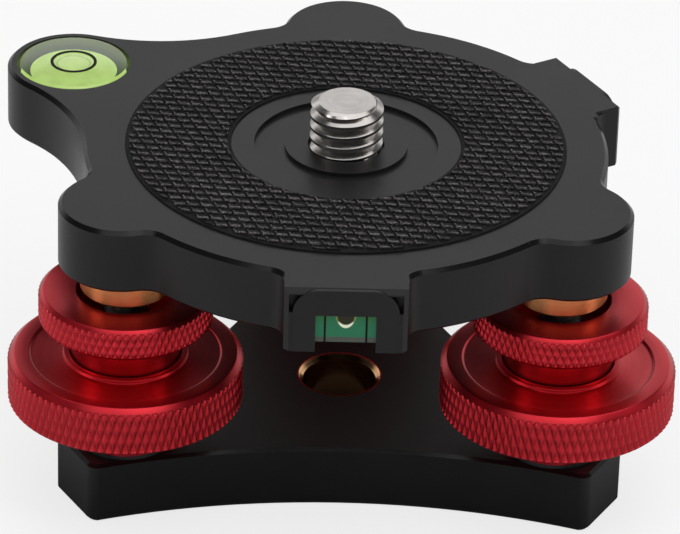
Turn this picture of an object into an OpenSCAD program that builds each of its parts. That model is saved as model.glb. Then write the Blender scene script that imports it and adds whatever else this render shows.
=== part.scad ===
// Three-wheel leveling base for a tripod: a lower plate with a 3/8 inch socket, three knurled
// adjusting wheels with lock rings, and an upper plate with a 3/8 inch stud and three spirit levels.
// Millimetres, +Z up. The origin is on the tripod socket's axis, at the underside of the base plate.
// The front of the object is -Y. Corners are named left, right and rear as seen from the front.

/* [Base plate] */
// Thickness of the base plate
base_h = 8.6; // [8:0.1:10]
// Distance from the centre to the flat end of each arm
base_tip_r = 40.1; // [39:0.1:42]
// Distance from the centre to the middle of each concave side
base_waist_r = 18.8; // [18:0.1:20]
// Radius of the concave sides
base_side_r = 93; // [85:1:105]
// Radius of the upright corners of the arms
base_corner_r = 1.5; // [1:0.1:2]

/* [Tripod socket] */
// Bore of the bush, clear of a 3/8 inch screw
socket_bore_d = 9.7; // [9.6:0.05:9.9]
// Outer diameter of the bush
bush_d = 11.2; // [11:0.1:12]
// Diameter of the bush's flange under the plate
bush_flange_d = 15; // [14:0.5:18]
// Thickness of the bush's flange
bush_flange_h = 1.5; // [1:0.1:2]

/* [Adjusters] */
// Distance from each adjuster's axis to the flat end of its arm
arm_end = 7.7; // [7.2:0.1:8.4]
// Diameter of the adjusting wheel over its knurl
wheel_d = 30.6; // [28:0.1:31]
// Height of the adjusting wheel's rim
wheel_h = 6.5; // [6:0.1:7]
// Height of the wheel's lower hub
wheel_hub_h = 5.8; // [5:0.1:6]
// Diameter of the wheel's lower hub
wheel_hub_d = 13; // [12:0.1:13.5]
// Diameter of the wheel's spindle in the base plate
spindle_d = 9; // [8:0.1:9]
// Thickness of the thrust washer
thrust_washer_h = 0.5; // [0.4:0.1:0.8]
// Diameter of the lock ring over its knurl
ring_d = 22.6; // [20:0.1:24]
// Height of the lock ring's rim
ring_h = 4.4; // [4.2:0.1:5]
// Free height between the wheel's rim and the lock ring's rim
ring_gap = 4.9; // [4:0.1:6]
// Diameter of the lock ring's neck
ring_neck_d = 14.2; // [14:0.1:15.5]

/* [Leveling screws] */
// Thread diameter of the leveling screw, 1 mm pitch
screw_d = 6; // [5.5:0.1:6]
// Diameter of the ball on the screw's end
ball_d = 6.4; // [6.4:0.1:6.6]
// Diameter of the neck below the ball
screw_neck_d = 3.8; // [3.4:0.1:3.8]
// Outer diameter of the ball bush
ball_bush_d = 11.8; // [11.6:0.1:12]

/* [Top plate] */
// Free height between the lock ring and the top plate
plate_gap = 4.1; // [3.6:0.1:4.5]
// Thickness of the top plate
plate_h = 8.9; // [8.4:0.1:9]
// Radius of the plate's main round edge
plate_r = 34.2; // [34:0.1:34.5]
// Distance of each lobe's middle outside its adjuster's axis
lobe_shift = 0.6; // [0.6:0.1:0.7]
// Radius of the three lobes
lobe_r = 8.2; // [8:0.1:8.2]
// Radius of the hollow beside each lobe
lobe_hollow_r = 3; // [2:0.1:4]
// Chamfer of the plate's edges
plate_chamfer = 0.5; // [0.3:0.1:0.6]

/* [Grip pad and stud] */
// Outer diameter of the grip pad
pad_d = 57.5; // [56:0.5:58]
// Inner diameter of the grip pad
pad_inner_d = 30; // [29:0.5:31]
// Height of the grip pad above the plate
pad_proud = 0.5; // [0.3:0.1:0.8]
// Depth of the grip pad's recess
pad_recess = 0.8; // [0.5:0.1:1]
// Thread diameter of the stud, 3/8 inch
stud_d = 9.525; // [9.4:0.025:9.6]
// Height of the stud above the plate
stud_h = 6.35; // [6:0.05:8]

/* [Levels] */
// Distance from the centre to the round level
lug_pitch_r = 42; // [41.5:0.1:42.5]
// Radius of the round level's lug
lug_r = 8.8; // [8.6:0.1:9]
// Radius of the hollow beside the lug
lug_hollow_r = 25; // [22:1:28]
// Diameter of the round level's vial
round_vial_d = 15.1; // [14.5:0.1:15.2]
// Distance from the centre to the face of each tube level's block
block_reach = 37.9; // [37.5:0.1:38.3]
// Thickness of a block's cheek past each end of its vial
block_cheek = 1.75; // [1.6:0.05:2]
// Radius of the hollow beside each block
block_hollow_r = 2.5; // [2:0.1:3]
// Height of a tube level's vial
tube_vial_h = 4.7; // [4.4:0.1:5]
// Depth of a tube level's vial
tube_vial_t = 4.2; // [4:0.1:4.6]
// Length of a tube level's vial
tube_vial_l = 12; // [11:0.1:12.4]

/* [Fits] */
// Radial clearance of pieces fixed in one another
fixed_clearance = 0.02; // [0.01:0.01:0.03]
// Radial clearance of turning pieces and screw threads
running_clearance = 0.05; // [0.03:0.01:0.08]
// Radial play of the ball in its liner, for the shift of the tilting plate
ball_play = 0.4; // [0.35:0.05:0.4]

/* [Hidden] */
$fn = 96;
past = 1;

corner_names = ["left", "right", "rear"];
corner_angles = [210, 330, 90];
block_names = ["front", "side"];
block_angles = [270, 30];
lug_angle = 150;

knob_pitch_r = base_tip_r - arm_end;
lobe_pitch_r = knob_pitch_r + lobe_shift;

wheel_hub_z = base_h + thrust_washer_h;
wheel_z = wheel_hub_z + wheel_hub_h;
wheel_top = wheel_z + wheel_h;
ring_z = wheel_top + ring_gap;
ring_top = ring_z + ring_h;
plate_z = ring_top + plate_gap;
plate_top = plate_z + plate_h;

base_chamfer = 0.4;
side_centre_r = base_waist_r + base_side_r;
tip_flat = side_centre_r * sin(60) - sqrt(pow(base_side_r + base_corner_r, 2)
    - pow(side_centre_r * cos(60) - base_tip_r + base_corner_r, 2));

bush_mouth = 0.6;

counterbore_h = 2.6;
end_play = 0.1;
spindle_z = counterbore_h - end_play;
washer_margin = 0.1;
retaining_washer_d = 10.2;
retaining_washer_h = 0.7;
counterbore_gap = 0.3;
counterbore_d = retaining_washer_d + 2 * counterbore_gap;
retaining_screw_d = 3;
retaining_head_d = 5.8;
retaining_head_h = 1.5;
retaining_key_d = 2.3;
retaining_key_h = 0.8;
retaining_screw_top = 6.4;

wheel_top_chamfer = 0.85;
wheel_low_chamfer = 0.25;
wheel_rim_t = 2.8;
wheel_dish_d = wheel_d - 2 * wheel_rim_t;
wheel_dish_h = 0.25;
wheel_well_gap = 0.5;
wheel_well_d = ring_neck_d + 2 * wheel_well_gap;
wheel_collar_t = 0.5;
wheel_collar_d = wheel_well_d + 2 * wheel_collar_t;
wheel_collar_h = 0.25;
wheel_collar_top = wheel_top + wheel_collar_h;
wheel_web_h = 2.1;
wheel_well_z = wheel_z + wheel_web_h;
wheel_bore_sink = 1.2;
wheel_bore_z = base_h - wheel_bore_sink;

ring_chamfer = 0.6;
ring_well_d = 12.9;
ring_well_h = 4;
ring_foot_z = wheel_well_z + running_clearance;

ball_rise = 0.3;
ball_z = plate_z + ball_rise;
screw_tip = 0.6;
screw_foot_gap = 0.9;
screw_z = base_h + screw_foot_gap;
screw_shoulder_drop = 2;
screw_shoulder_z = ring_top - screw_shoulder_drop;
liner_t = 0.4;
liner_half_h = 2.2;
liner_inner_r = ball_d / 2 + ball_play;
liner_outer_r = liner_inner_r + liner_t;
ball_socket_r = liner_outer_r + running_clearance;
ball_bush_drop = 3.8;
ball_bush_z = plate_z - ball_bush_drop;
ball_bush_seat = 5.4;
ball_bush_top = plate_z + ball_bush_seat;
ball_bush_mouth_d = 5.7;
ball_bush_chamfer = 0.4;
plug_z = ball_z + ball_socket_r + running_clearance;

land_r = 12;
boss_r = 8;
groove_h = 0.5;
stud_pitch = 1.5875;
stud_groove_h = 0.85;
stud_crest = 0.3;
stud_tip_d = 7.4;
stud_tip_h = 0.6;
stud_grooves = 3;
stud_shank_d = 9;
stud_mouth_d = 10;
stud_mouth_h = 0.6;
stud_head_d = 16;
stud_head_sink = 0.3;
stud_head_z = plate_z + stud_head_sink;
stud_head_h = 3;
stud_key = 5;
stud_key_h = 2;

round_pocket_h = 6.3;
round_vial_proud = 0.1;
round_vial_bevel = 0.5;
round_backing_h = 0.5;
round_chamber_d = 12.4;
round_chamber_h = 4;
round_dome_r = 30;
round_mark_d = 6.2;
round_mark_w = 0.4;
round_mark_h = 0.1;
round_floor = plate_top - round_pocket_h;
round_chamber_z = round_floor + round_backing_h;
round_chamber_top = round_chamber_z + round_chamber_h;
round_top = plate_top + round_vial_proud;

block_w = tube_vial_l + 2 * block_cheek;
block_face_step = 0.1;
block_face_r = block_reach - block_face_step;
block_inner_r = 24;
block_chamfer = 0.6;
block_lip = 0.8;
block_arch_r = 3.2;
block_arch_inset = 1.1;
block_arch_w = block_w - 2 * block_arch_inset;
block_arch_drop = 0.1;
block_arch_top = plate_top - block_arch_drop;
block_pocket_t = 1.1;
vial_wall = 0.5;
vial_gap = 0.1;
vial_end_gap = 0.3;
vial_back_gap = 0.5;
vial_rise = 1.15;
vial_z = plate_z + vial_rise;
vial_top = vial_z + tube_vial_h;
vial_face_r = block_reach - vial_wall - vial_gap;
vial_back_r = vial_face_r - tube_vial_t;
slot_l = tube_vial_l + 2 * vial_end_gap;
slot_top = vial_top + vial_gap;
slot_back_r = vial_back_r - vial_back_gap;
window_w = 7.6;
window_h = 5.2;
window_top = plate_z + window_h;
tube_wall = 0.4;
tube_chamber_d = tube_vial_t - 2 * tube_wall;
tube_axis_r = vial_face_r - tube_vial_t / 2;
tube_axis_z = vial_top - tube_wall - tube_chamber_d / 2;
tube_end = 0.8;
tube_line_gap = 5.2;
tube_line_w = 0.25;
tube_line_h = 0.06;
tube_backing_t = 0.3;

black = "#1b1b1d";
red = "#b0182a";
bronze = "#b0713f";
steel = "#b9bbbd";
nylon = "#2b2b2e";

corner_pieces = ["thrust_washer", "adjusting_wheel", "retaining_washer", "retaining_screw", "lock_ring",
    "leveling_screw", "ball_liner", "ball_bush", "socket_plug"];
tube_pieces = ["tube_vial", "tube_fluid", "tube_lines", "tube_backing"];

function polar(r, angle) = [r * cos(angle), r * sin(angle)];
function mirrored(point) = [point.x, -point.y];

// Distance from the centre to the middle of a hollow that touches the plate's edge and a disc of
// radius disc_r at distance disc_at, and the angle between the two.
function hollow_at(hollow_r) = plate_r + hollow_r;
function hollow_angle(disc_at, disc_r, hollow_r) = acos((pow(hollow_at(hollow_r), 2)
    - pow(disc_r + hollow_r, 2) + pow(disc_at, 2)) / (2 * disc_at * hollow_at(hollow_r)));

module at_corner(i) {
    translate(polar(knob_pitch_r, corner_angles[i])) children();
}

// Turns a piece drawn along +X to the front or the side block.
module at_block(i) {
    rotate([0, 0, block_angles[i]]) children();
}

module at_lug() {
    translate(polar(lug_pitch_r, lug_angle)) children();
}

module rod(d, z0, z1) {
    translate([0, 0, z0]) cylinder(d = d, h = z1 - z0);
}

module ring(outer_d, inner_d, z0, z1) {
    difference() {
        rod(outer_d, z0, z1);
        rod(inner_d, z0 - past, z1 + past);
    }
}

// Disc with both edges chamfered.
module chamfered_disc(r, z0, z1, c) {
    rotate_extrude() polygon([[0, z0], [r - c, z0], [r, z0 + c], [r, z1 - c], [r - c, z1], [0, z1]]);
}

// Cutter for a hollow in an edge: a cylinder that flares at both faces to leave chamfers.
module hollow_cutter(r, z0, z1, c) {
    wide = r + c + past;
    rotate_extrude() polygon([[0, z0 - past], [wide, z0 - past], [r, z0 + c], [r, z1 - c], [wide, z1 + past],
        [0, z1 + past]]);
}

// Prism between two heights.
module prism(points, z0, z1) {
    translate([0, 0, z0]) linear_extrude(height = z1 - z0) polygon(points);
}

// Fill between the plate's main disc and a disc at its edge, hollowed on one side.
module web(disc_at, disc_angle, disc_r, hollow_r, side) {
    hollow_centre = polar(hollow_at(hollow_r), disc_angle + side * hollow_angle(disc_at, disc_r, hollow_r));
    difference() {
        prism([[0, 0], polar(disc_at, disc_angle), hollow_centre], plate_z, plate_top);
        translate(hollow_centre) hollow_cutter(hollow_r, plate_z, plate_top, plate_chamfer);
    }
}

// One corner lobe, along +X: a disc just outside the adjuster's axis, with a hollow on either side.
module lobe() {
    translate([lobe_pitch_r, 0]) chamfered_disc(lobe_r, plate_z, plate_top, plate_chamfer);
    for (side = [-1, 1]) {
        web(lobe_pitch_r, 0, lobe_r, lobe_hollow_r, side);
    }
}

// Block for a tube level, along +X: an arched face in a chamfered block.
module block() {
    block_body();
    translate([block_inner_r, 0, 0]) rotate([90, 0, 90])
        linear_extrude(height = block_reach - block_inner_r) block_arch();
    for (side = [-1, 1]) {
        block_web(side);
    }
}

// Body of a block, with chamfered outer edges and a pocket under its lip beside each shoulder of the arch.
module block_body() {
    half = block_arch_w / 2;
    low = block_arch_top - block_arch_r;
    bevel = block_chamfer * sqrt(2);
    pocket_in = half - block_arch_r;
    pocket_w = block_w / 2 - block_chamfer - pocket_in;
    difference() {
        translate([0, -block_w / 2, plate_z]) cube([block_face_r, block_w, plate_h]);
        translate([block_face_r, 0, plate_top]) rotate([0, 45, 0])
            cube([bevel, 2 * block_w, bevel], center = true);
        for (side = [-1, 1]) {
            translate([block_face_r, side * block_w / 2, plate_z]) rotate([0, 0, 45])
                cube([bevel, bevel, 4 * plate_h], center = true);
            translate([block_face_r, side * (pocket_in + pocket_w / 2), low])
                translate([-block_pocket_t, -pocket_w / 2, 0])
                    cube([block_pocket_t + past, pocket_w, plate_top - block_lip - low]);
        }
    }
}

// Outline of a block's face, with round upper corners.
module block_arch() {
    top = block_arch_top;
    half = block_arch_w / 2;
    polygon([[-half, plate_z], [half, plate_z], [half, top - block_arch_r], [half - block_arch_r, top],
        [block_arch_r - half, top], [-half, top - block_arch_r]]);
    for (side = [-1, 1]) {
        translate([side * (half - block_arch_r), top - block_arch_r]) circle(r = block_arch_r);
    }
}

// Fill between a block and the plate's round edge, hollowed on one side.
module block_web(side) {
    hollow_y = side * (block_w / 2 + block_hollow_r);
    hollow_x = sqrt(pow(hollow_at(block_hollow_r), 2) - pow(hollow_y, 2));
    difference() {
        prism([[0, 0], [hollow_x, 0], [hollow_x, hollow_y]], plate_z, plate_top);
        translate([hollow_x, hollow_y]) hollow_cutter(block_hollow_r, plate_z, plate_top, plate_chamfer);
    }
}

// Slot for a tube level, open below, and the window in front of it.
module block_slot() {
    inner = block_reach - vial_wall;
    translate([slot_back_r, -slot_l / 2, plate_z - past])
        cube([inner - slot_back_r, slot_l, slot_top - plate_z + past]);
    translate([slot_back_r, -window_w / 2, plate_z - past])
        cube([block_reach - slot_back_r + past, window_w, window_top - plate_z + past]);
}

module base_plate() {
    arm = base_tip_r - base_corner_r;
    side_dir = [side_centre_r * cos(60) - arm, side_centre_r * sin(60) - tip_flat];
    corner = [arm, tip_flat];
    tip = [base_tip_r, tip_flat];
    flank = corner + 2 * base_corner_r * side_dir / norm(side_dir);
    flank_angle = atan2(flank.y, flank.x);
    color(black) difference() {
        union() {
            for (angle = corner_angles) {
                rotate([0, 0, angle]) {
                    prism([[0, 0], flank, corner, tip, mirrored(tip), mirrored(corner), mirrored(flank)],
                        0, base_h);
                    for (side = [-1, 1]) {
                        translate([arm, side * tip_flat])
                            chamfered_disc(base_corner_r, 0, base_h, base_chamfer);
                    }
                }
            }
            prism([for (angle = corner_angles, side = [-1, 1])
                polar(norm(flank), angle + side * flank_angle)], 0, base_h);
        }
        for (angle = corner_angles) {
            rotate([0, 0, angle + 60]) translate([side_centre_r, 0])
                hollow_cutter(base_side_r, 0, base_h, base_chamfer);
            rotate([0, 0, angle]) for (z = [0, base_h]) {
                translate([base_tip_r, 0, z]) rotate([0, 45, 0])
                    cube([base_chamfer * sqrt(2), 2 * tip_flat, base_chamfer * sqrt(2)], center = true);
            }
        }
        for (i = [0:2]) {
            at_corner(i) {
                rod(spindle_d + 2 * running_clearance, -past, base_h + past);
                rod(counterbore_d, -past, counterbore_h);
            }
        }
        rod(bush_d + 2 * fixed_clearance, -past, base_h + past);
        rod(bush_flange_d + 2 * fixed_clearance, -past, bush_flange_h);
    }
}

module tripod_bush() {
    bore_r = socket_bore_d / 2;
    flange_r = bush_flange_d / 2;
    color(bronze) rotate_extrude() polygon([[bore_r, 0], [flange_r, 0], [flange_r, bush_flange_h],
        [bush_d / 2, bush_flange_h], [bush_d / 2, base_h], [bore_r + bush_mouth, base_h],
        [bore_r, base_h - bush_mouth]]);
}

module thrust_washer() {
    color(nylon) ring(wheel_hub_d - 2 * washer_margin, spindle_d + 2 * washer_margin, base_h, wheel_hub_z);
}

module adjusting_wheel() {
    r = wheel_d / 2;
    dish_z = wheel_top - wheel_dish_h;
    color(red) difference() {
        rotate_extrude() polygon([[0, spindle_z], [spindle_d / 2, spindle_z], [spindle_d / 2, wheel_hub_z],
            [wheel_hub_d / 2, wheel_hub_z], [wheel_hub_d / 2, wheel_z], [r - wheel_low_chamfer, wheel_z],
            [r, wheel_z + wheel_low_chamfer], [r, wheel_top - wheel_top_chamfer],
            [r - wheel_top_chamfer, wheel_top], [wheel_dish_d / 2, wheel_top],
            [wheel_dish_d / 2 - wheel_dish_h, dish_z], [wheel_collar_d / 2, dish_z],
            [wheel_collar_d / 2, wheel_collar_top], [0, wheel_collar_top]]);
        rod(wheel_well_d, wheel_well_z, wheel_collar_top + past);
        rod(screw_d + 2 * running_clearance, wheel_bore_z, wheel_collar_top + past);
        rod(retaining_screw_d + 2 * fixed_clearance, spindle_z - past, retaining_screw_top + end_play);
    }
}

module retaining_washer() {
    color(steel) ring(retaining_washer_d, retaining_screw_d + 2 * fixed_clearance,
        spindle_z - retaining_washer_h, spindle_z);
}

module retaining_screw() {
    head_top = spindle_z - retaining_washer_h;
    head_z = head_top - retaining_head_h;
    color(steel) difference() {
        union() {
            rod(retaining_head_d, head_z, head_top);
            rod(retaining_screw_d, head_top, retaining_screw_top);
        }
        translate([0, 0, head_z - past]) cylinder(d = retaining_key_d, h = retaining_key_h + past, $fn = 6);
    }
}

module lock_ring() {
    r = ring_d / 2;
    color(red) difference() {
        rotate_extrude() polygon([[0, ring_foot_z], [ring_neck_d / 2, ring_foot_z], [ring_neck_d / 2, ring_z],
            [r - ring_chamfer, ring_z], [r, ring_z + ring_chamfer], [r, ring_top - ring_chamfer],
            [r - ring_chamfer, ring_top], [0, ring_top]]);
        rod(screw_d + 2 * running_clearance, ring_foot_z - past, ring_top + past);
        rod(ring_well_d, ring_top - ring_well_h, ring_top + past);
    }
}

module leveling_screw() {
    r = screw_d / 2;
    color(steel) {
        rotate_extrude() polygon([[0, screw_z], [r - screw_tip, screw_z], [r, screw_z + screw_tip],
            [r, screw_shoulder_z - screw_tip], [r - screw_tip, screw_shoulder_z],
            [screw_neck_d / 2, screw_shoulder_z], [screw_neck_d / 2, ball_z], [0, ball_z]]);
        translate([0, 0, ball_z]) sphere(d = ball_d);
    }
}

module ball_liner() {
    color(nylon) intersection() {
        difference() {
            translate([0, 0, ball_z]) sphere(r = liner_outer_r);
            translate([0, 0, ball_z]) sphere(r = liner_inner_r);
        }
        rod(4 * liner_outer_r, ball_z - liner_half_h, ball_z + liner_half_h);
    }
}

module ball_bush() {
    r = ball_bush_d / 2;
    color(bronze) difference() {
        rotate_extrude() polygon([[0, ball_bush_z], [r - ball_bush_chamfer, ball_bush_z],
            [r, ball_bush_z + ball_bush_chamfer], [r, ball_bush_top], [0, ball_bush_top]]);
        translate([0, 0, ball_z]) sphere(r = ball_socket_r);
        rod(2 * ball_socket_r, ball_z, ball_bush_top + past);
        rod(ball_bush_mouth_d, ball_bush_z - past, ball_z);
    }
}

module socket_plug() {
    color(steel) rod(2 * (ball_socket_r - fixed_clearance), plug_z, ball_bush_top);
}

module top_plate() {
    color(black) difference() {
        union() {
            chamfered_disc(plate_r, plate_z, plate_top, plate_chamfer);
            for (angle = corner_angles) {
                rotate([0, 0, angle]) lobe();
            }
            at_lug() chamfered_disc(lug_r, plate_z, plate_top, plate_chamfer);
            for (side = [-1, 1]) {
                web(lug_pitch_r, lug_angle, lug_r, lug_hollow_r, side);
            }
            for (i = [0, 1]) {
                at_block(i) block();
            }
        }
        ring(pad_d + 2 * fixed_clearance, pad_inner_d - 2 * fixed_clearance, plate_top - pad_recess,
            plate_top + past);
        ring(2 * land_r, 2 * boss_r, plate_top - groove_h, plate_top + past);
        rod(stud_shank_d + 2 * fixed_clearance, plate_z - past, plate_top + past);
        rod(stud_mouth_d, plate_top - stud_mouth_h, plate_top + past);
        rod(stud_head_d + 2 * fixed_clearance, plate_z - past, stud_head_z + stud_head_h);
        for (i = [0:2]) {
            at_corner(i)
                rod(ball_bush_d + 2 * fixed_clearance, plate_z - past, ball_bush_top + fixed_clearance);
        }
        at_lug() rod(round_vial_d + 2 * fixed_clearance, plate_top - round_pocket_h, plate_top + past);
        for (i = [0, 1]) {
            at_block(i) block_slot();
        }
    }
}

module grip_pad() {
    color("#161616") ring(pad_d, pad_inner_d, plate_top - pad_recess, plate_top + pad_proud);
}

// Stud with a grooved thread above the plate and a flat head let into the plate's underside.
module head_stud() {
    r = stud_d / 2;
    top = plate_top + stud_h;
    thread_top = top - stud_tip_h;
    head_top = stud_head_z + stud_head_h;
    flank = (stud_pitch - stud_crest) / 2;
    grooves = [for (turn = [stud_grooves:-1:1]) let (z = thread_top - turn * stud_pitch)
        each [[r, z], [r - stud_groove_h, z + flank], [r, z + 2 * flank]]];
    color(steel) difference() {
        rotate_extrude() polygon(concat([[0, stud_head_z], [stud_head_d / 2, stud_head_z],
            [stud_head_d / 2, head_top], [stud_shank_d / 2, head_top], [stud_shank_d / 2, plate_top],
            [r, plate_top]], grooves, [[r, thread_top], [stud_tip_d / 2, top], [0, top]]));
        translate([0, 0, stud_head_z - past])
            cylinder(d = stud_key / cos(30), h = stud_key_h + past, $fn = 6);
    }
}

// Chamber of the round level, with a shallow dome above.
module round_chamber(clearance) {
    intersection() {
        rod(round_chamber_d - 2 * clearance, round_chamber_z, round_chamber_top + past);
        translate([0, 0, round_chamber_top - round_dome_r]) sphere(r = round_dome_r - clearance);
    }
}

module round_vial() {
    r = round_vial_d / 2;
    color("#dfeedd", 0.5) at_lug() difference() {
        rotate_extrude() polygon([[0, round_chamber_z], [r, round_chamber_z],
            [r, round_top - round_vial_bevel], [r - round_vial_bevel, round_top], [0, round_top]]);
        round_chamber(0);
    }
}

module round_fluid() {
    color("#9fd356", 0.8) at_lug() round_chamber(fixed_clearance);
}

module round_mark() {
    color(black) at_lug()
        ring(round_mark_d, round_mark_d - 2 * round_mark_w, round_top, round_top + round_mark_h);
}

module round_backing() {
    color("#d8efb4") at_lug() rod(round_vial_d, round_floor, round_chamber_z);
}

// Chamber of a tube level, lying across its block.
module tube_chamber(clearance) {
    half = tube_vial_l / 2 - tube_end - clearance;
    translate([tube_axis_r, 0, tube_axis_z]) rotate([90, 0, 0])
        rod(tube_chamber_d - 2 * clearance, -half, half);
}

module tube_vial() {
    color("#dcefe2", 0.5) difference() {
        translate([vial_back_r, -tube_vial_l / 2, vial_z]) cube([tube_vial_t, tube_vial_l, tube_vial_h]);
        tube_chamber(0);
    }
}

module tube_fluid() {
    color("#3f9a66", 0.8) tube_chamber(fixed_clearance);
}

module tube_lines() {
    color(black) for (side = [-1, 1]) {
        translate([vial_face_r, side * tube_line_gap / 2 - tube_line_w / 2, vial_z])
            cube([tube_line_h, tube_line_w, tube_vial_h]);
    }
}

module tube_backing() {
    color("#cfe6c8") translate([slot_back_r, -tube_vial_l / 2, vial_z])
        cube([tube_backing_t, tube_vial_l, tube_vial_h]);
}

base_plate();
tripod_bush();
top_plate();
grip_pad();
head_stud();
round_vial();
round_fluid();
round_mark();
round_backing();
for (i = [0:2]) {
    name = corner_names[i];
    at_corner(i) thrust_washer();
    at_corner(i) adjusting_wheel();
    at_corner(i) retaining_washer();
    at_corner(i) retaining_screw();
    at_corner(i) lock_ring();
    at_corner(i) leveling_screw();
    at_corner(i) ball_liner();
    at_corner(i) ball_bush();
    at_corner(i) socket_plug();
}
for (i = [0, 1]) {
    name = block_names[i];
    at_block(i) tube_vial();
    at_block(i) tube_fluid();
    at_block(i) tube_lines();
    at_block(i) tube_backing();
}
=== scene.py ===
"""Looks of a three-wheel tripod leveling base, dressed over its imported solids.

Sizes are in millimetres in the classes below and in metres in Blender, in the frame of the solids:
+Z up, the origin on the tripod socket's axis at the underside of the base, the front at -Y.
"""

import logging
import math
from dataclasses import dataclass, field
from enum import Enum
from typing import Any, Iterable, Union

import bmesh
import bpy
from mathutils import Matrix, Vector


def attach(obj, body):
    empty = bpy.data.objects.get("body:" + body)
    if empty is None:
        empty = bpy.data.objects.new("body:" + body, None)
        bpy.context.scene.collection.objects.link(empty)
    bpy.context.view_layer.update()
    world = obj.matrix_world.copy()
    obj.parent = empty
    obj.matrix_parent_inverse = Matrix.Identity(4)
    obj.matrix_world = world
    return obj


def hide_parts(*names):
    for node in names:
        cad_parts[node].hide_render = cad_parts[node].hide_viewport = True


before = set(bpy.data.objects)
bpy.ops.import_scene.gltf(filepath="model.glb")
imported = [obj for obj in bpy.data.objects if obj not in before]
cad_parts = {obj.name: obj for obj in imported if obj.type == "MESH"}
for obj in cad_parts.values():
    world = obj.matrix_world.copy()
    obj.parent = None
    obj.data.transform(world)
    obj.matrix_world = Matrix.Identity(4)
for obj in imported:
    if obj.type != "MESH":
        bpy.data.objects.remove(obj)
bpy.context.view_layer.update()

MM = 0.001
# Axis of the round level, in millimetres
LUG_CENTRE = (-36.373, 21.0)
LOG = logging.getLogger("leveling_base")

Colour = tuple[float, float, float]
Point2 = tuple[float, float]
Point3 = tuple[float, float, float]
Inputs = dict[Union[int, str], Any]


class Corner(Enum):
    """The three adjusters, by the side they stand on, with the angle of each about the middle."""

    LEFT = 210.0
    RIGHT = 330.0
    REAR = 90.0

    @property
    def label(self) -> str:
        """Name of the corner as the nodes use it."""
        return self.name.lower()

    def centre(self, pitch: float) -> Point2:
        """The x and y of the adjuster's axis, in the unit of its pitch from the middle."""
        turn = math.radians(self.value)
        return (pitch * math.cos(turn), pitch * math.sin(turn))


class Side(Enum):
    """The two tube levels, with the angle that each faces."""

    FRONT = 270.0
    SIDE = 30.0

    @property
    def label(self) -> str:
        """Name of the level as the nodes use it."""
        return self.name.lower()


# Node graphs


@dataclass(frozen=True)
class Value:
    """A socket of a node graph that takes part in Python arithmetic."""

    graph: "Graph"
    socket: bpy.types.NodeSocket

    def _math(self, operation: str, first: Any, second: Any) -> "Value":
        """Adds a Math node on two operands, each a value or a number."""
        return self.graph.value("ShaderNodeMath", {"operation": operation}, {0: first, 1: second})

    def __add__(self, other: Any) -> "Value":
        """Sum."""
        return self._math("ADD", self, other)

    __radd__ = __add__

    def __sub__(self, other: Any) -> "Value":
        """Difference."""
        return self._math("SUBTRACT", self, other)

    def __rsub__(self, other: Any) -> "Value":
        """Difference from a number."""
        return self._math("SUBTRACT", other, self)

    def __mul__(self, other: Any) -> "Value":
        """Product."""
        return self._math("MULTIPLY", self, other)

    __rmul__ = __mul__

    def __truediv__(self, other: Any) -> "Value":
        """Quotient."""
        return self._math("DIVIDE", self, other)

    def __mod__(self, other: Any) -> "Value":
        """Remainder."""
        return self._math("MODULO", self, other)

    def least(self, other: Any) -> "Value":
        """The smaller of two values."""
        return self._math("MINIMUM", self, other)

    def most(self, other: Any) -> "Value":
        """The larger of two values."""
        return self._math("MAXIMUM", self, other)

    def over(self, other: Any) -> "Value":
        """1 where the value is greater than another, otherwise 0."""
        return self._math("GREATER_THAN", self, other)

    def of(self, operation: str) -> "Value":
        """A function of one operand, such as SINE or FLOOR."""
        return self._math(operation, self, 0.0)

    def hypot(self, other: "Value") -> "Value":
        """Length of a vector whose two parts are this value and another."""
        return (self * self + other * other).of("SQRT")

    def ramp(self, low: float, high: float) -> "Value":
        """A smooth step.

        Args:
            low: value at which the step begins.
            high: value at which the step ends.

        Returns:
            0 before low, 1 after high, and a smooth passage between.
        """
        return self.graph.value(
            "ShaderNodeMapRange", {"interpolation_type": "SMOOTHSTEP"},
            {0: self, 1: low, 2: high, 3: 0.0, 4: 1.0}
        )


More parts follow.
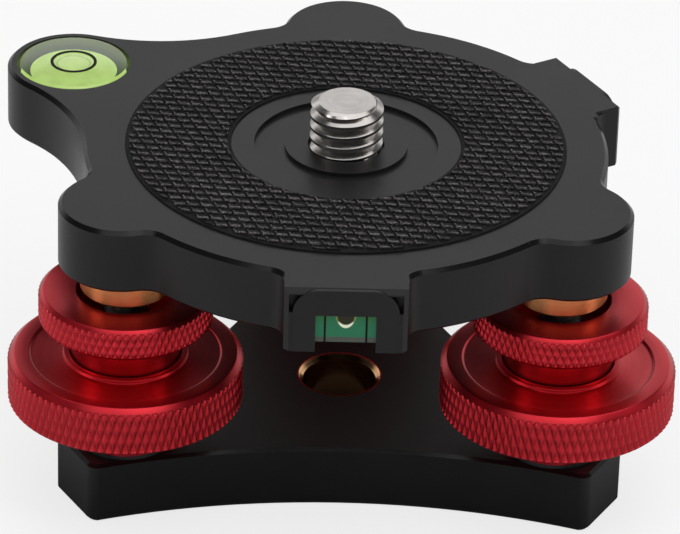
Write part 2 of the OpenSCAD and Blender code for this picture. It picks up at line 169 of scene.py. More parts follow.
@dataclass
class Graph:
    """A node tree that is written as expressions."""

    tree: bpy.types.NodeTree

    def node(self, kind: str, settings: dict[str, Any], inputs: Inputs) -> bpy.types.Node:
        """Adds any node.

        Args:
            kind: the node's type.
            settings: the node's own properties.
            inputs: values or links by socket name or number.

        Returns:
            The node.
        """
        made = self.tree.nodes.new(kind)
        for key, value in settings.items():
            setattr(made, key, value)
        for key, value in inputs.items():
            self.join(value, made.inputs[key])
        return made

    def join(self, value: Any, socket: bpy.types.NodeSocket) -> None:
        """Links a value to a socket, or sets a number on it.

        Args:
            value: a value, a socket or a constant.
            socket: the socket that receives it.
        """
        if isinstance(value, Value):
            self.tree.links.new(value.socket, socket)
        elif isinstance(value, bpy.types.NodeSocket):
            self.tree.links.new(value, socket)
        elif isinstance(value, (tuple, list)) and socket.type == "RGBA" and len(value) == 3:
            socket.default_value = (*value, 1.0)
        else:
            socket.default_value = value

    def value(self, kind: str, settings: dict[str, Any], inputs: Inputs,
              output: Union[int, str] = 0) -> Value:
        """Adds any node and gives the output of that name or number."""
        return Value(self, self.node(kind, settings, inputs).outputs[output])

    def split(self, vector: Value) -> tuple[Value, Value, Value]:
        """The three parts of a vector."""
        node = self.node("ShaderNodeSeparateXYZ", {}, {0: vector})
        return tuple(Value(self, socket) for socket in node.outputs)

    def vector(self, x: Any, y: Any, z: Any) -> Value:
        """A vector from its three parts."""
        return self.value("ShaderNodeCombineXYZ", {}, {0: x, 1: y, 2: z})

    def mix(self, share: Value, first: Any, second: Any) -> Value:
        """A colour between two, with a share of 0 for the first and 1 for the second."""
        return self.value("ShaderNodeMix", {"data_type": "RGBA"}, {0: share, 6: first, 7: second}, 2)

    def rays(self) -> tuple[Value, Value]:
        """What a ray of light is for.

        Returns:
            1 for a ray from the camera, and 1 for a ray that a shiny or clear surface sends on, otherwise 0.
        """
        path = self.node("ShaderNodeLightPath", {}, {})
        kinds = ("Is Camera Ray", "Is Glossy Ray", "Is Transmission Ray")
        seen, glossy, passed = (Value(self, path.outputs[kind]) for kind in kinds)
        return seen, glossy.most(passed)


@dataclass
class Paint(Graph):
    """A material's node graph, with the patterns that the finishes share."""

    material: bpy.types.Material = field(init=False, default=None)

    @classmethod
    def start(cls, name: str) -> "Paint":
        """An empty material of that name."""
        material = bpy.data.materials.new(name)
        material.use_nodes = True
        material.node_tree.nodes.clear()
        paint = cls(material.node_tree)
        paint.material = material
        return paint

    def place(self) -> Value:
        """Object coordinates, in metres."""
        return self.value("ShaderNodeTexCoord", {}, {}, "Object")

    def facing(self) -> Value:
        """The surface's own direction in the object's frame."""
        return self.value("ShaderNodeTexCoord", {}, {}, "Normal")

    def radius(self, at: Value, axis: Point2) -> Value:
        """Distance in metres from an upright axis, whose x and y are in millimetres."""
        x, y, _ = self.split(at)
        return (x - axis[0] * MM).hypot(y - axis[1] * MM)

    def grain(self, at: Value, size: float, detail: float, roughness: float = 0.5) -> Value:
        """Noise from 0 to 1.

        Args:
            at: coordinates, in metres.
            size: size of the grain in millimetres.
            detail: number of finer layers.
            roughness: weight of the finer layers.

        Returns:
            The noise.
        """
        return self.value("ShaderNodeTexNoise", {}, {
            "Vector": at, "Scale": 1.0 / (size * MM), "Detail": detail, "Roughness": roughness,
        })

    def bump(self, height: Value, depth: float) -> Value:
        """A bumped normal, for a height from 0 to 1 and the millimetres that 1 stands for."""
        return self.value("ShaderNodeBump", {}, {"Height": height, "Distance": depth * MM, "Strength": 1.0})

    def finish(self, **sockets: Any) -> bpy.types.Material:
        """Ends the material in one Principled shader.

        Args:
            sockets: the shader's sockets, with spaces written as underscores.

        Returns:
            The material.
        """
        inputs = {key.replace("_", " "): value for key, value in sockets.items()}
        shader = self.node("ShaderNodeBsdfPrincipled", {}, inputs)
        self.node("ShaderNodeOutputMaterial", {}, {"Surface": shader.outputs[0]})
        return self.material


# Finishes

# Upward part of the direction of a face that is chamfered at 45 degrees
CHAMFER_RISE = 0.707


def scaled(colour: Colour, factor: float) -> Colour:
    """A colour with each of its parts times a factor."""
    return tuple(factor * part for part in colour)


@dataclass(frozen=True)
class BlackAnodise:
    """Blasted and black anodised aluminium, with chamfers that a cutter left smoother and that are darkened
    with painted shade.
    """

    name: str
    colour: Colour
    roughness: float
    specular: float
    top: float = 0.0

    def material(self) -> bpy.types.Material:
        """The finish as a material, rougher on level faces where its top says so."""
        paint = Paint.start(self.name)
        at = paint.place()
        blast = paint.grain(at, size=0.16, detail=2.0, roughness=0.6)
        cloud = paint.grain(at, size=9.0, detail=3.0, roughness=0.55)
        up = paint.split(paint.facing())[2]
        edge = 1.0 - (up - CHAMFER_RISE).of("ABSOLUTE").ramp(0.12, 0.24)
        tone = cloud.ramp(0.3, 0.7) * 0.5 + blast * 0.5
        body = paint.mix(tone, scaled(self.colour, 0.78), scaled(self.colour, 1.22))
        # Painted shade: the chamfers take half the body colour; their lower roughness and fainter bump are
        # the smoother cut.
        chamfer_shade = scaled(self.colour, 0.5)
        return paint.finish(
            Base_Color=paint.mix(edge, body, chamfer_shade),
            Roughness=self.roughness + up.ramp(0.8, 1.0) * self.top + (cloud - 0.5) * 0.10
            + (blast - 0.5) * 0.14 - edge * 0.16,
            Specular_IOR_Level=self.specular,
            Normal=paint.bump(blast * (1.0 - edge * 0.7), depth=0.012),
        )


@dataclass(frozen=True)
class RedAnodise:
    """Turned and red anodised aluminium, with fine rings about the axis of its corner."""

    name: str
    axis: Point2
    colour: Colour
    deep: Colour
    roughness: float
    rim_r: float
    rim_roughness: float

    def material(self) -> bpy.types.Material:
        """The finish as a material, duller on the knurl outside its rim radius, with painted shade in the
        knurl's valleys.
        """
        paint = Paint.start(self.name)
        at = paint.place()
        z = paint.split(at)[2]
        radius = paint.radius(at, self.axis)
        knurl = radius.ramp((self.rim_r - 0.1) * MM, (self.rim_r + 0.1) * MM)
        # Painted shade: the knurl's valleys are mixed towards a dark third of the deep colour.
        valley = knurl * (1.0 - radius.ramp((self.rim_r + 0.08) * MM, (self.rim_r + 0.26) * MM))
        rings = paint.grain(paint.vector(radius, z * 0.6, 0.0), size=0.11, detail=3.0, roughness=0.65)
        broad = paint.grain(paint.vector(radius, z, 0.0), size=0.9, detail=1.0)
        cloud = paint.grain(at, size=5.0, detail=2.0)
        blast = paint.grain(at, size=0.09, detail=1.0)
        tone = rings * 0.45 + broad * 0.25 + cloud * 0.30
        body = paint.mix(tone.ramp(0.3, 0.7), self.deep, self.colour)
        return paint.finish(
            Base_Color=paint.mix(valley * 0.3, body, scaled(self.deep, 0.3)),
            Metallic=1.0,
            Roughness=self.roughness + knurl * (self.rim_roughness - self.roughness) + (rings - 0.5) * 0.16
            + (cloud - 0.5) * 0.06,
            Anisotropic=0.45,
            Anisotropic_Rotation=0.25,
            Coat_Weight=0.3,
            Coat_Roughness=0.25,
            Normal=paint.bump(rings * 0.7 + blast * 0.3, depth=0.005),
        )


@dataclass(frozen=True)
class BareMetal:
    """Turned metal without a coating, such as stainless steel or bronze."""

    name: str
    axis: Point2
    colour: Colour
    shade: Colour
    roughness: float
    rings: float
    bore_r: float = 0.0
    bore_low: float = 0.0
    bore_high: float = 1.0
    bore: Colour = (0.0, 0.0, 0.0)
    spread: float = 0.0

    def material(self) -> bpy.types.Material:
        """The finish as a material, with painted shade darkening it down a bore where it has one."""
        paint = Paint.start(self.name)
        at = paint.place()
        z = paint.split(at)[2]
        radius = paint.radius(at, self.axis)
        turned = paint.grain(paint.vector(radius, z, 0.0), size=self.rings, detail=2.0, roughness=0.6)
        stain = paint.grain(at, size=2.6, detail=3.0)
        tone = turned * 0.5 + stain * 0.5
        body = paint.mix(tone.ramp(0.32, 0.68), self.shade, self.colour)
        # Painted shade: inside the bore's radius the colour turns to the bore colour, wholly so below its low
        # height.
        within = 1.0 - radius.ramp(self.bore_r * MM, (self.bore_r + 0.1) * MM)
        deep = within * (1.0 - z.ramp(self.bore_low * MM, self.bore_high * MM))
        return paint.finish(
            Base_Color=paint.mix(deep, body, self.bore),
            Metallic=1.0,
            Roughness=self.roughness + (turned - 0.5) * 0.18 + (stain - 0.5) * 0.10,
            Anisotropic=self.spread,
            Anisotropic_Rotation=0.25,
            Normal=paint.bump(turned, depth=0.005),
        )


@dataclass(frozen=True)
class Rubber:
    """Black moulded rubber, dusty on its raised faces, with painted shade keeping its low floor dark."""

    name: str
    colour: Colour
    dust: Colour
    floor: float
    crown: float

    def material(self) -> bpy.types.Material:
        """The finish as a material."""
        paint = Paint.start(self.name)
        at = paint.place()
        height = paint.split(at)[2]
        speckle = paint.grain(at, size=0.30, detail=3.0, roughness=0.65)
        cloud = paint.grain(at, size=6.0, detail=2.0)
        patch = paint.grain(at, size=1.1, detail=1.0).ramp(0.3, 0.7)
        fleck = paint.grain(at, size=0.24, detail=1.0).ramp(0.60, 0.74)
        # Painted shade: below the crown the share of dust colour falls to 0.07, so the floor and the low
        # panels stay dark.
        raised = height.ramp(self.floor * MM, self.crown * MM)
        dusty = 0.10 + speckle.ramp(0.38, 0.66) * 0.65 + fleck * 1.5
        share = (0.07 + raised * 0.93) * dusty * (0.6 + cloud * 0.8) * (0.55 + patch * 0.7)
        return paint.finish(
            Base_Color=paint.mix(share, self.colour, self.dust),
            Roughness=0.62 + (speckle - 0.5) * 0.25 - raised * 0.08,
            Specular_IOR_Level=0.10,
            Normal=paint.bump(speckle, depth=0.09),
        )


@dataclass(frozen=True)
class Moulding:
    """Plain moulded plastic or printed ink, with a fine mottle."""

    name: str
    colour: Colour
    shade: Colour
    roughness: float
    specular: float = 0.5

    def material(self) -> bpy.types.Material:
        """The finish as a material."""
        paint = Paint.start(self.name)
        at = paint.place()
        mottle = paint.grain(at, size=0.8, detail=3.0)
        return paint.finish(
            Base_Color=paint.mix(mottle.ramp(0.3, 0.7), self.shade, self.colour),
            Roughness=self.roughness + (mottle - 0.5) * 0.12,
            Specular_IOR_Level=self.specular,
            Normal=paint.bump(mottle, depth=0.004),
        )


@dataclass(frozen=True)
class Acrylic:
    """Clear acrylic with a faint tint and handling marks."""

    name: str
    colour: Colour
    roughness: float

    def material(self) -> bpy.types.Material:
        """The finish as a material."""
        paint = Paint.start(self.name)
        at = paint.place()
        marks = paint.grain(at, size=1.4, detail=4.0, roughness=0.6)
        clear = tuple(min(1.0, 1.03 * part) for part in self.colour)
        return paint.finish(
            Base_Color=paint.mix(marks, self.colour, clear),
            Roughness=self.roughness + marks.ramp(0.55, 0.9) * 0.08,
            IOR=1.49,
            Transmission_Weight=1.0,
            Normal=paint.bump(marks, depth=0.002),
        )


@dataclass(frozen=True)
class RoundSpirit:
    """Pale green spirit of the round level, seen at the floor of its cup, with a painted glow."""

    name: str
    colour: Colour
    shade: Colour
    glow: float

    def material(self) -> bpy.types.Material:
        """The finish as a material."""
        paint = Paint.start(self.name)
        at = paint.place()
        swirl = paint.grain(at, size=2.4, detail=2.0)
        seen = paint.mix(swirl.ramp(0.3, 0.7), self.shade, self.colour)
        return paint.finish(
            Base_Color=seen,
            Roughness=0.35 + (swirl - 0.5) * 0.10,
            # Painted light: the emission is a glow that stands in for light the clear vial keeps off the
            # spirit.
            Emission_Color=seen,
            Emission_Strength=self.glow,
            Normal=paint.bump(swirl, depth=0.004),
        )


@dataclass(frozen=True)
class FrostedCup:
    """Frosted grey-green wall of the round level's cup, paler towards its rim, with painted shade towards its
    floor and a painted glow.
    """

    name: str
    low: Colour
    high: Colour
    floor: float
    rim: float
    glow: float

    def material(self) -> bpy.types.Material:
        """The finish as a material."""
        paint = Paint.start(self.name)
        at = paint.place()
        z = paint.split(at)[2]
        frost = paint.grain(at, size=0.5, detail=2.0)
        # Painted shade: the wall darkens towards the cup's floor.
        share = z.ramp(self.floor * MM, self.rim * MM) * 0.9 + (frost - 0.5) * 0.2
        seen = paint.mix(share, self.low, self.high)
        return paint.finish(
            Base_Color=seen,
            Roughness=0.55 + (frost - 0.5) * 0.2,
            Specular_IOR_Level=0.1,
            # Painted light: the emission is a glow in place of light the clear vial keeps off the wall.
            Emission_Color=seen,
            Emission_Strength=self.glow,
            Normal=paint.bump(frost, depth=0.006),
        )


@dataclass(frozen=True)
class AirBubble:
    """Air bubble of the round level, its look painted in: a faint painted highlight in its middle, painted
    shade round its edge and a painted glow.
    """

    name: str
    centre: Point2
    colour: Colour
    rim: Colour
    radius: float
    glow: float

    def material(self) -> bpy.types.Material:
        """The finish as a material."""
        paint = Paint.start(self.name)
        at = paint.place()
        reach = paint.radius(at, self.centre) / (self.radius * MM)
        ripple = paint.grain(at, size=0.7, detail=2.0)
        # Painted light and shade: the bubble has no colour of its own, so its pale middle, darker edge and
        # glow stand in for the light that passes through it.
        edge = reach.ramp(0.78, 0.93)
        seen = paint.mix(edge, self.colour, self.rim)
        return paint.finish(
            Base_Color=seen,
            Roughness=0.2 + ripple * 0.1,
            Alpha=0.10 + edge * 0.35 + ripple * 0.06,
            Emission_Color=seen,
            Emission_Strength=self.glow,
            Normal=paint.bump(ripple, depth=0.003),
        )


@dataclass(frozen=True)
class TubeVial:
    """Green tube level as its window shows it, light and shade painted in: spirit, the bubble in its middle
    and the clear foot below.
    """

    name: str
    side: Side
    colour: Colour
    upper: Colour
    foot: Colour
    air: Colour
    rim: Colour
    shine: Colour
    foot_z: float
    crown: float
    half_length: float
    half_height: float
    glow: float

    def material(self) -> bpy.types.Material:
        """The finish as a material."""
        paint = Paint.start(self.name)
        at = paint.place()
        x, y, z = paint.split(at)
        turn = math.radians(self.side.value + 90.0)
        along = (x * math.cos(turn) + y * math.sin(turn)) / (self.half_length * MM)
        down = (self.crown * MM - z) / (self.half_height * MM)
        away = along.hypot(down)
        inner = (along * along / 0.80 + down * down / 0.52).of("SQRT")
        swirl = paint.grain(at, size=1.6, detail=2.0)
        high = 1.0 - down.ramp(0.0, 0.9)
        # Painted shade: the spirit turns to the upper colour towards its top and its ends.
        spirit = paint.mix(high * (0.3 + along.of("ABSOLUTE").ramp(0.8, 2.6) * 0.7), self.colour, self.upper)
        body = paint.mix(z.ramp((self.foot_z - 0.05) * MM, (self.foot_z + 0.10) * MM), self.foot, spirit)
        # Painted shade fills the bubble's hollow, a painted light rim goes round its upper sides, and a
        # painted highlight crescent lies along its bottom.
        hollow = paint.mix(1.0 - away.ramp(0.90, 1.0), body, self.air)
        edge = away.ramp(0.78, 0.90) * (1.0 - away.ramp(0.96, 1.05)) * (1.0 - down.ramp(0.30, 0.65))
        rimmed = paint.mix(edge * (0.4 + swirl * 0.8), hollow, self.rim)
        crescent = inner.ramp(0.94, 1.06) * (1.0 - away.ramp(0.90, 0.98)) * down.ramp(0.40, 0.62)
        seen = paint.mix(crescent, rimmed, self.shine)
        # Painted light: the emission is a glow over the whole window.
        return paint.finish(
            Base_Color=seen,
            Roughness=0.22 + (swirl - 0.5) * 0.06,
            Emission_Color=seen,
            Emission_Strength=self.glow,
            Specular_IOR_Level=0.25,
            Normal=paint.bump(swirl, depth=0.003),
        )


# Mesh making


# Radius under which a point of an outline lies on the axis, in millimetres
ON_AXIS = 1e-6


@dataclass
class Profile:
    """A closed outline of radius and height, in millimetres, that is turned about an upright axis."""

    points: list[Point3]
    centre: Point2 = (0.0, 0.0)
    steps: int = 144
    arc: int = 3
    arc_share: float = 0.45
    least_arc: float = 1e-4

    def outline(self) -> list[Point2]:
        """The outline with its corners rounded.

        Returns:
            The points in order, each corner replaced by a short arc of the radius given with it.
        """
        done: list[Point2] = []
        count = len(self.points)
        for index, (r, z, size) in enumerate(self.points):
            here = Vector((r, z))
            before = Vector(self.points[index - 1][:2]) - here
            after = Vector(self.points[(index + 1) % count][:2]) - here
            reach = min(size, self.arc_share * before.length, self.arc_share * after.length)
            if reach < self.least_arc or r < ON_AXIS:
                done.append((r, z))
                continue
            start = here + before.normalized() * reach
            end = here + after.normalized() * reach
            for step in range(self.arc + 1):
                share = step / self.arc
                spot = start.lerp(here, share).lerp(here.lerp(end, share), share)
                done.append((spot.x, spot.y))
        return done

    def mesh(self, name: str) -> bpy.types.Mesh:
        """The turned mesh.

        Args:
            name: the mesh's name.

        Returns:
            A closed mesh with its faces outwards.
        """
        shape = bmesh.new()
        outline = self.outline()
        rings = []
        for r, z in outline:
            turns = 1 if r < ON_AXIS else self.steps
            rings.append([
                shape.verts.new((
                    (self.centre[0] + r * math.cos(2.0 * math.pi * turn / self.steps)) * MM,
                    (self.centre[1] + r * math.sin(2.0 * math.pi * turn / self.steps)) * MM,
                    z * MM,
                ))
                for turn in range(turns)
            ])
        for index, ring in enumerate(rings):
            other = rings[(index + 1) % len(rings)]
            for turn in range(self.steps):
                corners = [
                    ring[turn % len(ring)], ring[(turn + 1) % len(ring)],
                    other[(turn + 1) % len(other)], other[turn % len(other)],
                ]
                faces = list(dict.fromkeys(corners))
                if len(faces) > 2:
                    shape.faces.new(faces)
        return finish_mesh(shape, name, sharp=32.0)


def finish_mesh(shape: bmesh.types.BMesh, name: str, sharp: float) -> bpy.types.Mesh:
    """Closes a mesh, turns its faces outwards and shades it.

    Args:
        shape: the mesh being made, which is freed.
        name: the mesh's name.
        sharp: angle over which an edge stays sharp, in degrees.

    Returns:
        The mesh.
    """
    bmesh.ops.remove_doubles(shape, verts=shape.verts, dist=1e-7)
    bmesh.ops.dissolve_degenerate(shape, edges=shape.edges, dist=1e-8)
    bmesh.ops.recalc_face_normals(shape, faces=shape.faces)
    mesh = bpy.data.meshes.new(name)
    shape.to_mesh(mesh)
    shape.free()
    mesh.shade_smooth()
    mesh.set_sharp_from_angle(angle=math.radians(sharp))
    return mesh


def add_object(name: str, mesh: bpy.types.Mesh, material: bpy.types.Material) -> bpy.types.Object:
    """Puts a mesh into the scene.

    Args:
        name: the object's name.
        mesh: its mesh.
        material: its only material.

    Returns:
        The object, at the origin.
    """
    mesh.materials.clear()
    mesh.materials.append(material)
    made = bpy.data.objects.new(name, mesh)
    bpy.context.scene.collection.objects.link(made)
    return made


def through_nodes(piece: bpy.types.Object, tree: bpy.types.NodeTree, values: dict[str, Any],
                  sharp: Union[float, None] = None) -> None:
    """Runs an object through a geometry node tree and keeps the result as its plain mesh.

    Args:
        piece: the object.
        tree: the geometry node tree.
        values: the tree's inputs by name.
        sharp: angle over which an edge is made sharp, in degrees, or None to keep the edges as they come.
    """
    modifier = piece.modifiers.new("repeat", "NODES")
    modifier.node_group = tree
    for item in tree.interface.items_tree:
        if item.item_type == "SOCKET" and item.in_out == "INPUT" and item.name in values:
            modifier[item.identifier] = values[item.name]
    bpy.context.view_layer.update()
    depsgraph = bpy.context.evaluated_depsgraph_get()
    mesh = bpy.data.meshes.new_from_object(piece.evaluated_get(depsgraph), depsgraph=depsgraph)
    piece.modifiers.remove(modifier)
    mesh.name = piece.name
    piece.data = mesh
    mesh.shade_smooth()
    if sharp is not None:
        mesh.set_sharp_from_angle(angle=math.radians(sharp))


@dataclass
class Repeat(Graph):
    """A geometry node tree that sets one small solid on many points."""

    start: bpy.types.Node = field(init=False, default=None)

    @classmethod
    def open(cls, name: str, inputs: Iterable[tuple[str, str]]) -> "Repeat":
        """A tree with a mesh input, a material input and named sizes.

        Args:
            name: the tree's name.
            inputs: names of the sizes and their socket types.

        Returns:
            The tree, with its group input in place.
        """
        tree = bpy.data.node_groups.new(name, "GeometryNodeTree")
        face = tree.interface
        face.new_socket("Geometry", in_out="OUTPUT", socket_type="NodeSocketGeometry")
        face.new_socket("Geometry", in_out="INPUT", socket_type="NodeSocketGeometry")
        face.new_socket("Material", in_out="INPUT", socket_type="NodeSocketMaterial")
        for label, kind in inputs:
            face.new_socket(label, in_out="INPUT", socket_type=kind)
        made = cls(tree)
        made.start = tree.nodes.new("NodeGroupInput")
        return made

    def given(self, name: str) -> Value:
        """One of the tree's inputs."""
        return Value(self, self.start.outputs[name])

    def index(self) -> Value:
        """Number of the point."""
        return self.value("GeometryNodeInputIndex", {}, {})

    def spot(self) -> tuple[Value, Value, Value]:
        """Place of the point or corner."""
        return self.split(self.value("GeometryNodeInputPosition", {}, {}))

    def frustum(self, top: Any, scale: Value, turn: Any = (0.0, 0.0, 0.0)) -> Value:
        """A four-sided block that narrows upwards from a base of radius 1.

        Args:
            top: radius of its upper face.
            scale: its size along each axis.
            turn: its turn about each axis, in radians, before it is sized.

        Returns:
            The block.
        """
        cone = self.value(
            "GeometryNodeMeshCone", {"fill_type": "NGON"},
            {"Vertices": 4, "Radius Top": top, "Radius Bottom": 1.0, "Depth": 1.0}
        )
        turned = self.value("GeometryNodeTransform", {}, {"Geometry": cone, "Rotation": turn})
        return self.value("GeometryNodeTransform", {}, {"Geometry": turned, "Scale": scale})

    def close(self, geometry: Value) -> bpy.types.NodeTree:
        """Joins what was made to the mesh that came in, and ends the tree.

        Args:
            geometry: what was made.

        Returns:
            The finished tree.
        """
        both = self.node("GeometryNodeJoinGeometry", {}, {0: geometry})
        self.join(self.given("Geometry"), both.inputs[0])
        real = self.value("GeometryNodeRealizeInstances", {}, {0: both.outputs[0]})
        dressed = self.value("GeometryNodeSetMaterial", {}, {
            "Geometry": real, "Material": self.given("Material"),
        })
        self.node("NodeGroupOutput", {}, {0: dressed})
        return self.tree


# How often a diamond of the knurl is divided, and the angle over which its edges stay sharp, in degrees
DIAMOND_LEVEL = 2
DIAMOND_SHARP = 75.0


def knurl_tree() -> bpy.types.NodeTree:
    """A diamond knurl round an upright band, trimmed to the chamfers above and below it.

    Returns:
        The tree. Rows of diamonds stand half their height apart, every other row half a width round.
    """
    number, size = "NodeSocketInt", "NodeSocketFloat"
    tree = Repeat.open("knurl", [
        ("Starts", number), ("Rows", number), ("Radius", size), ("Depth", size), ("Low", size),
        ("High", size), ("First Row", size), ("Half Height", size), ("Flat", size), ("Centre X", size),
        ("Centre Y", size),
    ])
    starts, rows = tree.given("Starts"), tree.given("Rows")
    radius, depth, half = tree.given("Radius"), tree.given("Depth"), tree.given("Half Height")
    index = tree.index()
    row = ((index + 0.5) / starts).of("FLOOR")
    angle = (index - row * starts + (row % 2.0) * 0.5) * (2.0 * math.pi) / starts
    points = tree.value("GeometryNodePoints", {}, {
        "Count": starts * rows,
        "Position": tree.vector(
            radius * angle.of("COSINE"), radius * angle.of("SINE"), tree.given("First Row") + row * half
        ),
    })
    width = radius * math.pi / starts
    block = tree.frustum(tree.given("Flat"), tree.vector(width, half, depth))
    fine = tree.value("GeometryNodeSubdivideMesh", {}, {"Mesh": block, "Level": DIAMOND_LEVEL})
    fold = tree.value("GeometryNodeInputMeshEdgeAngle", {}, {})
    diamond = tree.value(
        "GeometryNodeSetShadeSmooth", {"domain": "EDGE"},
        {"Geometry": fine, "Selection": fold.over(math.radians(DIAMOND_SHARP)), "Shade Smooth": False}
    )
    px, py, _ = tree.spot()
    aim = tree.value(
        "FunctionNodeAxesToRotation", {"primary_axis": "Z", "secondary_axis": "Y"},
        {0: tree.vector(px, py, 0.0), 1: (0.0, 0.0, 1.0)}
    )
    many = tree.value("GeometryNodeInstanceOnPoints", {}, {
        "Points": points, "Instance": diamond, "Rotation": aim,
    })
    real = tree.value("GeometryNodeRealizeInstances", {}, {0: many})
    vx, vy, vz = tree.spot()
    under = radius + depth - vx.hypot(vy)
    kept = vz.least(tree.given("High") + under).most(tree.given("Low") - under)
    trimmed = tree.value("GeometryNodeSetPosition", {}, {
        "Geometry": real,
        "Position": tree.vector(vx + tree.given("Centre X"), vy + tree.given("Centre Y"), kept),
    })
    return tree.close(trimmed)


@dataclass(frozen=True)
class WeaveBlock:
    """A block of the weave, in shares of the pitch along a row and of the row pitch across it."""

    length: float
    width: float
    right: float
    behind: float
    rise: float
    top: float


# A bar, the post at its left end and the low panel behind it, with each rise a share of the weave's height
WEAVE_CELL = (
    WeaveBlock(length=0.650, width=0.205, right=0.000, behind=0.00, rise=1.00, top=0.80),
    WeaveBlock(length=0.105, width=0.460, right=-0.300, behind=0.29, rise=0.80, top=0.70),
    WeaveBlock(length=0.440, width=0.240, right=0.085, behind=0.51, rise=0.22, top=0.80),
)
# Where the first cell stands, in pitches and row pitches before the corner of the field
WEAVE_START = (0.32, 0.21)
# How far a cell's middle may lie past the ring's outer and inner edges, in row pitches
WEAVE_OVER, WEAVE_UNDER = 0.3, 0.6


def weave_tree() -> bpy.types.NodeTree:
    """Raised bars with low panels behind them, in leaning columns over a flat ring.

    Returns:
        The tree. What reaches past the ring is pulled back to its edges.
    """
    number, size = "NodeSocketInt", "NodeSocketFloat"
    tree = Repeat.open("weave", [
        ("Columns", number), ("Rows", number), ("Pitch", size), ("Row Pitch", size), ("Row Shift", size),
        ("Turn", size), ("Inner", size), ("Outer", size), ("Floor", size), ("Height", size),
    ])
    columns, rows, height = tree.given("Columns"), tree.given("Rows"), tree.given("Height")
    pitch, step, shift = tree.given("Pitch"), tree.given("Row Pitch"), tree.given("Row Shift")
    inner, outer, turn = tree.given("Inner"), tree.given("Outer"), tree.given("Turn")
    index = tree.index()
    row = ((index + 0.5) / columns).of("FLOOR")
    slide = row * shift
    slide = slide - (slide / pitch).of("FLOOR") * pitch
    x = (index - row * columns - columns * 0.5 - WEAVE_START[0]) * pitch + slide
    y = (row - rows * 0.5 - WEAVE_START[1]) * step
    cosine, sine = turn.of("COSINE"), turn.of("SINE")
    points = tree.value("GeometryNodePoints", {}, {
        "Count": columns * rows,
        "Position": tree.vector(x * cosine - y * sine, x * sine + y * cosine, tree.given("Floor")),
    })
    px, py, _ = tree.spot()
    away = px.hypot(py)
    outside = away.over(outer + step * WEAVE_OVER).most(1.0 - away.over(inner - step * WEAVE_UNDER))
    kept = tree.value(
        "GeometryNodeDeleteGeometry", {"domain": "POINT"}, {"Geometry": points, "Selection": outside}
    )
    square = (0.0, 0.0, math.pi / 4.0)
    cell = tree.node("GeometryNodeJoinGeometry", {}, {})
    for block in WEAVE_CELL:
        extent = tree.vector(pitch * block.length, step * block.width, height * block.rise)
        moved = tree.value("GeometryNodeTransform", {}, {
            "Geometry": tree.frustum(block.top, extent, square),
            "Translation": tree.vector(pitch * block.right, step * block.behind, 0.0),
        })
        tree.join(moved, cell.inputs[0])
    cx, cy, cz = tree.spot()
    leaning = tree.value("GeometryNodeSetPosition", {}, {
        "Geometry": cell.outputs[0], "Position": tree.vector(cx + cy * shift / step, cy, cz),
    })
    many = tree.value("GeometryNodeInstanceOnPoints", {}, {
        "Points": kept, "Instance": leaning, "Rotation": tree.vector(0.0, 0.0, turn),
    })
    real = tree.value("GeometryNodeRealizeInstances", {}, {0: many})
    vx, vy, vz = tree.spot()
    reach = vx.hypot(vy)
    pull = reach.least(outer).most(inner) / reach
    trimmed = tree.value("GeometryNodeSetPosition", {}, {
        "Geometry": real, "Position": tree.vector(vx * pull, vy * pull, vz),
    })
    return tree.close(trimmed)


# Sub-assemblies


@dataclass
class Knurled:
    """A turned piece of one corner with a diamond knurl round its rim."""

    corner: Corner
    finish: bpy.types.Material
    knurl: bpy.types.NodeTree
    radius: float
    knurl_depth: float
    starts: int
    first_row: float
    row_step: float
    rows: int = 5
    knurl_flat: float = 0.2
    pitch: float = 32.4

    @property
    def valley(self) -> float:
        """Radius of the knurl's valleys."""
        return self.radius - self.knurl_depth

    def turned(self, name: str, outline: list[Point3], low: float, high: float) -> bpy.types.Object:
        """Turns the piece and knurls its rim.

        Args:
            name: the object's name.
            outline: the piece's outline, with its rim at the valleys.
            low: height at which the knurl's crests begin.
            high: height at which they end.

        Returns:
            The piece.
        """
        x, y = self.corner.centre(self.pitch)
        piece = add_object(name, Profile(outline, (x, y), 2 * self.starts).mesh(name), self.finish)
        through_nodes(piece, self.knurl, {
            "Material": self.finish, "Starts": self.starts, "Rows": self.rows, "Radius": self.valley * MM,
            "Depth": self.knurl_depth * MM, "Low": low * MM, "High": high * MM,
            "First Row": self.first_row * MM, "Half Height": self.row_step * MM, "Flat": self.knurl_flat,
            "Centre X": x * MM, "Centre Y": y * MM,
        })
        return piece


